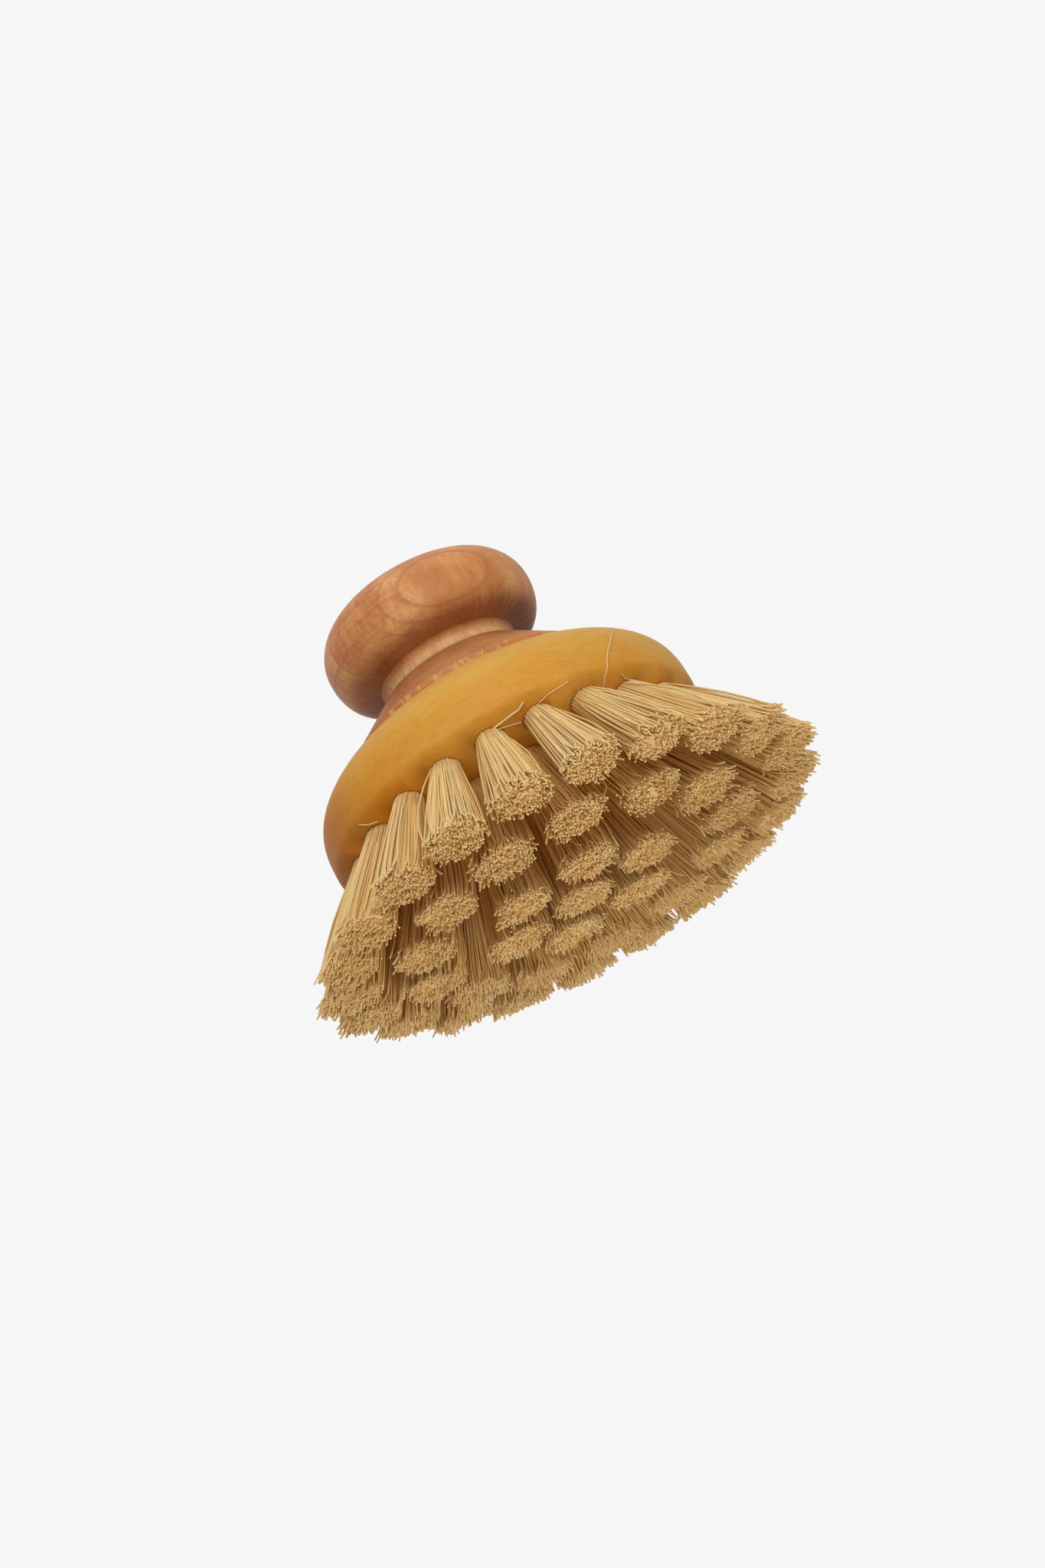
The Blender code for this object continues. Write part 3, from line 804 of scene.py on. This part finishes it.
def fibre_route(root, lean, spot, tip_spot, trimmed, fibre, rng):
    """Points of one fibre from inside its hole to the cut, for a tuft at angle zero."""
    reach = in_tuft(root, lean, spot, tip_spot, 1.0) - root
    bow = scatter(rng, 1).to_3d() * fibre.bow * BOW_SHARE
    if rng.random() < fibre.stray:
        bow += (tip_spot + scatter(rng, STRAY_ASIDE)).to_3d() * fibre.bow * rng.uniform(*STRAY_BOWS)
        cut = rng.uniform(*STRAY_CUTS) * fibre.raggedness
    else:
        cut = trimmed + rng.gauss(0, fibre.raggedness)
    stretch = 1 + cut / reach.length
    curl = Vector((0, 0, 0))
    if rng.random() < fibre.curled:
        turn = rng.uniform(0, 2 * math.pi)
        curl = Vector((math.cos(turn), math.sin(turn), rng.uniform(*CURL_RISES))) * rng.uniform(*CURL_SIZES) * MM
    points = [in_tuft(root, lean, spot, tip_spot, -PACKED_DEPTH / reach.length)]
    for station in FIBRE_STATIONS:
        sway = bow * math.sin(math.pi * station * BOW_TURN)
        hook = curl * max(0.0, (station - CURL_FROM) / (1 - CURL_FROM)) ** CURL_POWER
        points.append(in_tuft(root, lean, spot, tip_spot, station * stretch) + sway + hook)
    for point in points:
        point.z = max(point.z, 0.0)
    return points


def drawn_out(name, strands):
    """One mesh of fibres. A strand is (points, radii, tone, how deep in painted shade it lies); it goes out with
    tone, painted shade and along as attributes."""
    curve = bpy.data.curves.new(name, "CURVE")
    curve.dimensions = "3D"
    curve.bevel_depth = 1.0
    curve.bevel_resolution = 0
    curve.use_fill_caps = True
    tones, painted_shades, along = [], [], []
    for points, radii, tone, in_shade in strands:
        spline = curve.splines.new("POLY")
        spline.points.add(len(points) - 1)
        spline.points.foreach_set("co", [part for point in points for part in (*point, 1.0)])
        spline.points.foreach_set("radius", radii)
        tones += [tone] * len(points)
        end = len(points) - 1
        along += [step / end for step in range(end + 1)]
        # The painted shade fades out over the last points, towards the open cut ends
        painted_shades += [in_shade * min(1.0, (end - step) / SHADE_FADE_POINTS) for step in range(end + 1)]
    # Blender puts every strand's two end caps first, last strand first, and then the strands
    tones = [strand[2] for strand in reversed(strands) for cap in range(2)] + tones
    along = [1.0, 0.0] * len(strands) + along
    painted_shades = [0.0] * 2 * len(strands) + painted_shades
    holder = bpy.data.objects.new(name, curve)
    mesh = bpy.data.meshes.new_from_object(holder)
    bpy.data.objects.remove(holder)
    bpy.data.curves.remove(curve)
    if len(mesh.vertices) != len(tones) * RING_SIDES:
        raise RuntimeError(f"{name} has {len(mesh.vertices)} points where {len(tones) * RING_SIDES} were expected")
    for label, values in zip(LABELS, (tones, painted_shades, along)):
        layer = mesh.attributes.new(label, "FLOAT", "POINT")
        layer.data.foreach_set("value", np.repeat(values, RING_SIDES).astype(np.float32))
    cap_faces = sum(1 for face in mesh.polygons if len(face.vertices) == 3)
    bm = bmesh.new()
    bm.from_mesh(mesh)
    bm.faces.ensure_lookup_table()
    for face in bm.faces:
        face.smooth = True
        face.material_index = int(face.index < cap_faces)
    bmesh.ops.remove_doubles(bm, verts=bm.verts, dist=CAP_MERGE)
    for edge in bm.edges:
        edge.smooth = len({face.material_index for face in edge.link_faces}) == 1
    bm.to_mesh(mesh)
    bm.free()
    return mesh


def add_core(mesh, root, lean):
    """Close the inside of a tuft at angle zero, so that the gaps between its fibres aren't deep."""
    bm = bmesh.new()
    bm.from_mesh(mesh)
    tone, shelter, along = (bm.verts.layers.float[label] for label in LABELS)
    rings = []
    for place in CORE_STOPS:
        ring = bmesh.ops.create_circle(bm, segments=CORE_SIDES, radius=CORE_SHARE)["verts"]
        rings.append(list(dict.fromkeys(edge for point in ring for edge in point.link_edges)))
        for point in ring:
            spot = point.co.xy
            point.co = in_tuft(root, lean, spot, spot, place)
            point[tone], point[shelter], point[along] = CORE_TONE, CORE_SHADE, max(0.0, place)
    faces = []
    for ring, next_ring in zip(rings, rings[1:]):
        faces += bmesh.ops.bridge_loops(bm, edges=ring + next_ring)["faces"]
    for face in faces:
        face.smooth = True
    faces += bmesh.ops.edgeloop_fill(bm, edges=rings[0] + rings[-1])["faces"]
    bmesh.ops.recalc_face_normals(bm, faces=faces)
    bm.to_mesh(mesh)
    bm.free()


def on_head(angle, way):
    """A point on the head's skin. way is millimetres from the rim line, up the shoulder, or
    in over the face where it is negative."""
    if way >= 0:
        radius, height = shoulder(min(1.0, way * MM / BLOCK_RISE))
        outward, upward = 1.0, 0.25 + 0.75 * way * MM / BLOCK_RISE
    else:
        radius = HEAD_RADIUS + way * MM
        height = face_height(radius)
        outward, upward = 0.5, -1.0
    turn = math.radians(angle)
    skin = Vector((radius * math.cos(turn), radius * math.sin(turn), height))
    normal = Vector((outward * math.cos(turn), outward * math.sin(turn), upward)).normalized()
    return skin + normal * HAIR_LIFT


# thickness in millimetres, then (angle in degrees, millimetres up from the rim, or in from it where negative)
LOOSE_HAIRS = (
    (0.24, ((-35.2, 7.8), (-41.0, 5.0), (-46.1, 2.1), (-50.3, -1.1), (-50.1, -3.6))),
    (0.40, ((-89.4, -2.8), (-82.5, -2.0), (-78.9, -1.6), (-77.0, -0.8))),
    (0.26, ((-89.0, -2.9), (-84.3, -3.5), (-79.3, -4.2))),
    (0.22, ((-72.9, -2.1), (-68.8, -1.1), (-62.7, -0.5))),
    (0.26, ((-140.0, -0.5), (-138.5, -1.6), (-136.3, -2.5))),
    (0.26, ((-44.0, -1.1), (-42.0, -1.9), (-36.7, -2.4))),
)


# ---- operators


class POTBRUSH_OT_studio(bpy.types.Operator):
    """Set up the camera, the lamps, the pale surroundings and the ground."""

    bl_idname = "potbrush.studio"
    bl_label = "Set up the studio"

    def execute(self, context):
        scene, studio = context.scene, context.scene.potbrush_studio
        scene.view_settings.view_transform = "Standard"
        raised, level = Vector((0, -math.sin(CAMERA_ELEVATION), math.cos(CAMERA_ELEVATION))), Vector((1, 0, 0))
        back = Vector((0, -math.cos(CAMERA_ELEVATION), -math.sin(CAMERA_ELEVATION)))
        right = math.cos(CAMERA_ROLL) * level + math.sin(CAMERA_ROLL) * raised
        up = -math.sin(CAMERA_ROLL) * level + math.cos(CAMERA_ROLL) * raised
        lens = bpy.data.cameras.new("camera")
        lens.lens, lens.sensor_width = CAMERA_LENS, CAMERA_SENSOR
        lens.shift_x, lens.shift_y = CAMERA_SHIFT
        lens.clip_start, lens.clip_end = CAMERA_CLIP
        camera = bpy.data.objects.new("camera", lens)
        scene.collection.objects.link(camera)
        turn = Matrix((right, up, back)).transposed().to_4x4()
        camera.matrix_world = Matrix.Translation(Vector(CAMERA_TARGET) + back * CAMERA_DISTANCE) @ turn
        scene.camera = camera
        self.add_lamp(scene, "key_lamp", back * 0.85 + up * 0.50 - right * 0.10, studio.key)
        self.add_lamp(scene, "fill_lamp", back * 0.45 - up * 0.65 + right * 0.60, studio.fill)
        self.add_lamp(scene, "top_lamp", up * 0.85 - right * 0.45 - back * 0.05, studio.top)
        self.light_world(scene, studio)
        self.lay_ground(scene, studio)
        return {"FINISHED"}

    def add_lamp(self, scene, name, direction, power):
        """A soft square lamp that points at the brush."""
        lamp = bpy.data.lights.new(name, "AREA")
        lamp.shape, lamp.size, lamp.energy = "SQUARE", LAMP_SIZE, power
        holder = bpy.data.objects.new(name, lamp)
        middle = Vector(LAMP_TARGET)
        holder.location = middle + direction.normalized() * LAMP_DISTANCE
        holder.rotation_mode = "QUATERNION"
        holder.rotation_quaternion = (middle - holder.location).to_track_quat("-Z", "Y")
        scene.collection.objects.link(holder)

    def light_world(self, scene, studio):
        """Even light from all round, with a pale picture of it for the eye and for gloss."""
        world = bpy.data.worlds.new("pale_room")
        world.use_nodes = True
        tree = Tree(world.node_tree)
        path = tree.add("ShaderNodeLightPath").outputs
        seen = tree.math("MAXIMUM", path["Is Camera Ray"], path["Is Glossy Ray"])
        seen = tree.math("MAXIMUM", seen, path["Is Transmission Ray"])
        room = world.node_tree.nodes["Background"].inputs
        tree.feed(room["Color"], tree.mix(seen, (studio.ambient,) * 3, studio.ground))
        scene.world = world

    def lay_ground(self, scene, studio):
        """Pale ground that fades out, lets lamps through and isn't seen from below."""
        bm = bmesh.new()
        bmesh.ops.create_circle(bm, cap_ends=True, segments=GROUND_SIDES, radius=GROUND_RADIUS)
        ground = bpy.data.objects.new("ground", mesh_of(bm, "ground"))
        scene.collection.objects.link(ground)
        ground.location.z = -GROUND_DROP
        finish = bpy.data.materials.new("pale_ground")
        finish.use_nodes = True
        tree = Tree(finish.node_tree)
        tree.tree.nodes.clear()
        path = tree.add("ShaderNodeLightPath").outputs
        below = tree.add("ShaderNodeNewGeometry").outputs["Backfacing"]
        away = tree.vector("LENGTH", tree.place())
        hidden = tree.math("MAXIMUM", below, tree.span(away, *GROUND_FADE))
        hidden = tree.math("MAXIMUM", hidden, path["Is Shadow Ray"])
        hidden = tree.math("MAXIMUM", hidden, path["Is Diffuse Ray"])
        plain = tree.add("ShaderNodeBsdfDiffuse", {"Color": studio.ground}).outputs[0]
        clear = tree.add("ShaderNodeBsdfTransparent").outputs[0]
        shown = tree.add("ShaderNodeMixShader", {0: hidden, 1: plain, 2: clear}).outputs[0]
        tree.add("ShaderNodeOutputMaterial", {"Surface": shown})
        ground.data.materials.append(finish)


class POTBRUSH_OT_turn_knob(bpy.types.Operator):
    """Turn the knob handle and oil it."""

    bl_idname = "potbrush.turn_knob"
    bl_label = "Turn the knob"

    def execute(self, context):
        knob = context.scene.potbrush_knob
        bm = turned(knob_outline(), KNOB_STEPS)
        edges = [(JOINT_RADIUS - FOOT_EDGE_TAPER, FOOT_TOP), (COLLAR_RADIUS, COLLAR_HEIGHT)]
        round_edges(bm, edges, knob.edge_round)
        finish = knob_finish(knob, context.scene.potbrush_head)
        finished("knob_wood", mesh_of(bm, "knob_wood"), "red_wood", ["knob_handle"], finish, sharp=SHARP_ANGLE)
        return {"FINISHED"}


class POTBRUSH_OT_turn_head(bpy.types.Operator):
    """Turn the head block, drill its 41 holes and wax it."""

    bl_idname = "potbrush.turn_head"
    bl_label = "Turn and drill the head"

    def execute(self, context):
        block = bpy.data.objects.new("head_wood", mesh_of(turned(head_outline(), HEAD_STEPS), "head_wood"))
        drills = bpy.data.objects.new("drills", self.drills())
        for shape in (block, drills):
            context.scene.collection.objects.link(shape)
        cut = block.modifiers.new("drilling", "BOOLEAN")
        cut.operation, cut.solver, cut.object = "DIFFERENCE", "EXACT", drills
        mesh = bpy.data.meshes.new_from_object(block.evaluated_get(context.evaluated_depsgraph_get()))
        for shape in (block, drills):
            bpy.data.objects.remove(shape)
        finish = head_finish(context.scene.potbrush_head)
        finished("head_wood", mesh, "yellow_wood", ["head_block"], finish, sharp=SHARP_ANGLE)
        return {"FINISHED"}

    def drills(self):
        """Every stepped drill in one mesh."""
        joined = bmesh.new()
        for name, count, phase, root_radius, fan_height in ROWS:
            root, lean = row_axis(root_radius, fan_height)
            through = (RECESS_FLOOR - root.z) / math.cos(lean) + DRILL_OVERRUN
            profile = [
                (0, -DRILL_OVERRUN), (BORE_RADIUS, -DRILL_OVERRUN), (BORE_RADIUS, BORE_DEPTH),
                (PILOT_RADIUS, BORE_DEPTH), (PILOT_RADIUS, through), (0, through),
            ]
            drill = mesh_of(turned(profile, DRILL_STEPS), "drill")
            for turn in row_turns(count, phase):
                first = len(joined.verts)
                joined.from_mesh(drill)
                joined.verts.ensure_lookup_table()
                place = turn @ Matrix.Translation(root) @ Matrix.Rotation(-lean, 4, "Y")
                bmesh.ops.transform(joined, matrix=place, verts=joined.verts[first:])
            bpy.data.meshes.remove(drill)
        return mesh_of(joined, "drills")


class POTBRUSH_OT_glue_joint(bpy.types.Operator):
    """Lay the ring of glue between the head and the knob's foot."""

    bl_idname = "potbrush.glue_joint"
    bl_label = "Glue the joint"

    def execute(self, context):
        inner, outer = RECESS_RADIUS + GLUE_INSET, JOINT_RADIUS - GLUE_SHY
        low, high = JOINT_HEIGHT + GLUE_SLACK, FOOT_HEIGHT - GLUE_SLACK
        ring = [(inner, low), (outer, low), (outer, high), (inner, high), (inner, low)]
        mesh = mesh_of(turned(ring, KNOB_STEPS), "glue_line")
        finish = glue_finish(context.scene.potbrush_head)
        finished("glue_line", mesh, "red_wood", [], finish, sharp=SHARP_ANGLE)
        return {"FINISHED"}


class POTBRUSH_OT_fill_tufts(bpy.types.Operator):
    """Fill every hole with its tuft of fibres."""

    bl_idname = "potbrush.fill_tufts"
    bl_label = "Fill the tufts"

    def execute(self, context):
        fibre = context.scene.potbrush_fibre
        side = fibre_finish("straw_fibre", fibre, fibre.pale, fibre.deep, 0.50)
        end = fibre_finish("cut_fibre", fibre, fibre.cut_end, fibre.deep, 0.70)
        for row, count, phase, root_radius, fan_height in ROWS:
            root, lean = row_axis(root_radius, fan_height)
            for step, turn in enumerate(row_turns(count, phase)):
                node = row if count == 1 else f"{row}_{step + 1:02d}"
                rng = random.Random(f"{row} {step}")
                mesh = drawn_out(node, self.strands(root, lean, fibre, rng))
                add_core(mesh, root, lean)
                mesh.transform(turn)
                finished(node.replace("tuft", "fibres"), mesh, "fibre", [node], side, end)
        return {"FINISHED"}

    def strands(self, root, lean, fibre, rng):
        """The fibres of one tuft."""
        strands = []
        clumps = [
            (spot, scatter(rng, CLUMP_LEAN), rng.gauss(0, CLUMP_TRIM) * MM, rng.uniform(-CLUMP_TINT, CLUMP_TINT))
            for spot in spread_spots(CLUMPS, rng)
        ]
        for spot in spread_spots(fibre.per_tuft, rng):
            middle, lean_aside, trimmed, tint = min(clumps, key=lambda clump: (clump[0] - spot).length)
            tip_spot = spot.lerp(middle, CLUMP_PULL) + lean_aside + scatter(rng, TIP_JITTER)
            points = fibre_route(root, lean, spot, tip_spot, trimmed, fibre, rng)
            thick = rng.uniform(*THICKNESSES)
            widths = [part * thick for part in ROOT_THICKNESSES] + [thick] * (len(points) - len(ROOT_THICKNESSES))
            widths = [width * fibre.radius for width in widths]
            # Painted shade: less on the outer side of the outer row, which lies open to the light, full everywhere else
            facing_out = max(0.0, min(1.0, OPEN_SHARE + spot.x)) if root.x > OPEN_RADIUS else 0.0
            strands.append((points, widths, rng.uniform(*TONES) + tint, 1 - facing_out))
        return strands


class POTBRUSH_OT_loose_hairs(bpy.types.Operator):
    """Lay the loose fibres that stay on the yellow wood after trimming."""

    bl_idname = "potbrush.loose_hairs"
    bl_label = "Lay the loose fibres"

    def execute(self, context):
        fibre = context.scene.potbrush_fibre
        finish = fibre_finish("loose_fibre", fibre, fibre.pale, fibre.deep, 0.5)
        for number, (thickness, stops) in enumerate(LOOSE_HAIRS, start=1):
            points = []
            for (angle, way), (next_angle, next_way) in zip(stops, stops[1:]):
                for part in range(HAIR_STEPS):
                    done = part / HAIR_STEPS
                    points.append(on_head(angle + (next_angle - angle) * done, way + (next_way - way) * done))
            points.append(on_head(*stops[-1]))
            mesh = drawn_out("hair", [(points, [thickness / 2 * MM] * len(points), 0.9, 0.0)])
            finished(f"loose_fibre_{number:02d}", mesh, "fibre", [], finish, finish)
        return {"FINISHED"}


class POTBRUSH_OT_finish_wire(bpy.types.Operator):
    """Give the drawing wire its bright steel finish."""

    bl_idname = "potbrush.finish_wire"
    bl_label = "Brighten the wire"

    def execute(self, context):
        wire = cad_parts["drawing_wire"]
        wire.data.materials.clear()
        wire.data.materials.append(wire_finish())
        return {"FINISHED"}


class POTBRUSH_PT_workshop(bpy.types.Panel):
    """Steps of making the brush, and what each of them can be set to."""

    bl_label = "Pot Brush"
    bl_idname = "POTBRUSH_PT_workshop"
    bl_space_type = "VIEW_3D"
    bl_region_type = "UI"
    bl_category = "Pot Brush"

    def draw(self, context):
        scene = context.scene
        steps = (
            (scene.potbrush_studio, ("studio",)),
            (scene.potbrush_knob, ("turn_knob",)),
            (scene.potbrush_head, ("turn_head", "glue_joint")),
            (scene.potbrush_fibre, ("fill_tufts", "loose_hairs", "finish_wire")),
        )
        for settings, names in steps:
            box = self.layout.box()
            for label in settings.__annotations__:
                box.prop(settings, label)
            for name in names:
                box.operator(f"potbrush.{name}")


SETTINGS = {
    "potbrush_knob": POTBRUSH_PG_knob,
    "potbrush_head": POTBRUSH_PG_head,
    "potbrush_fibre": POTBRUSH_PG_fibre,
    "potbrush_studio": POTBRUSH_PG_studio,
}
STEPS = (
    POTBRUSH_OT_studio,
    POTBRUSH_OT_turn_knob,
    POTBRUSH_OT_turn_head,
    POTBRUSH_OT_glue_joint,
    POTBRUSH_OT_fill_tufts,
    POTBRUSH_OT_loose_hairs,
    POTBRUSH_OT_finish_wire,
    POTBRUSH_PT_workshop,
)


def register():
    for name, settings in SETTINGS.items():
        bpy.utils.register_class(settings)
        setattr(bpy.types.Scene, name, PointerProperty(type=settings))
    for step in STEPS:
        bpy.utils.register_class(step)


def unregister():
    for step in reversed(STEPS):
        bpy.utils.unregister_class(step)
    for name, settings in SETTINGS.items():
        delattr(bpy.types.Scene, name)
        bpy.utils.unregister_class(settings)


def main():
    """Make the brush from the camera on."""
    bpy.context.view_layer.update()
    register()
    bpy.ops.potbrush.studio()
    bpy.ops.potbrush.turn_knob()
    bpy.ops.potbrush.turn_head()
    bpy.ops.potbrush.glue_joint()
    bpy.ops.potbrush.fill_tufts()
    bpy.ops.potbrush.loose_hairs()
    bpy.ops.potbrush.finish_wire()


if __name__ == "__main__":
    main()
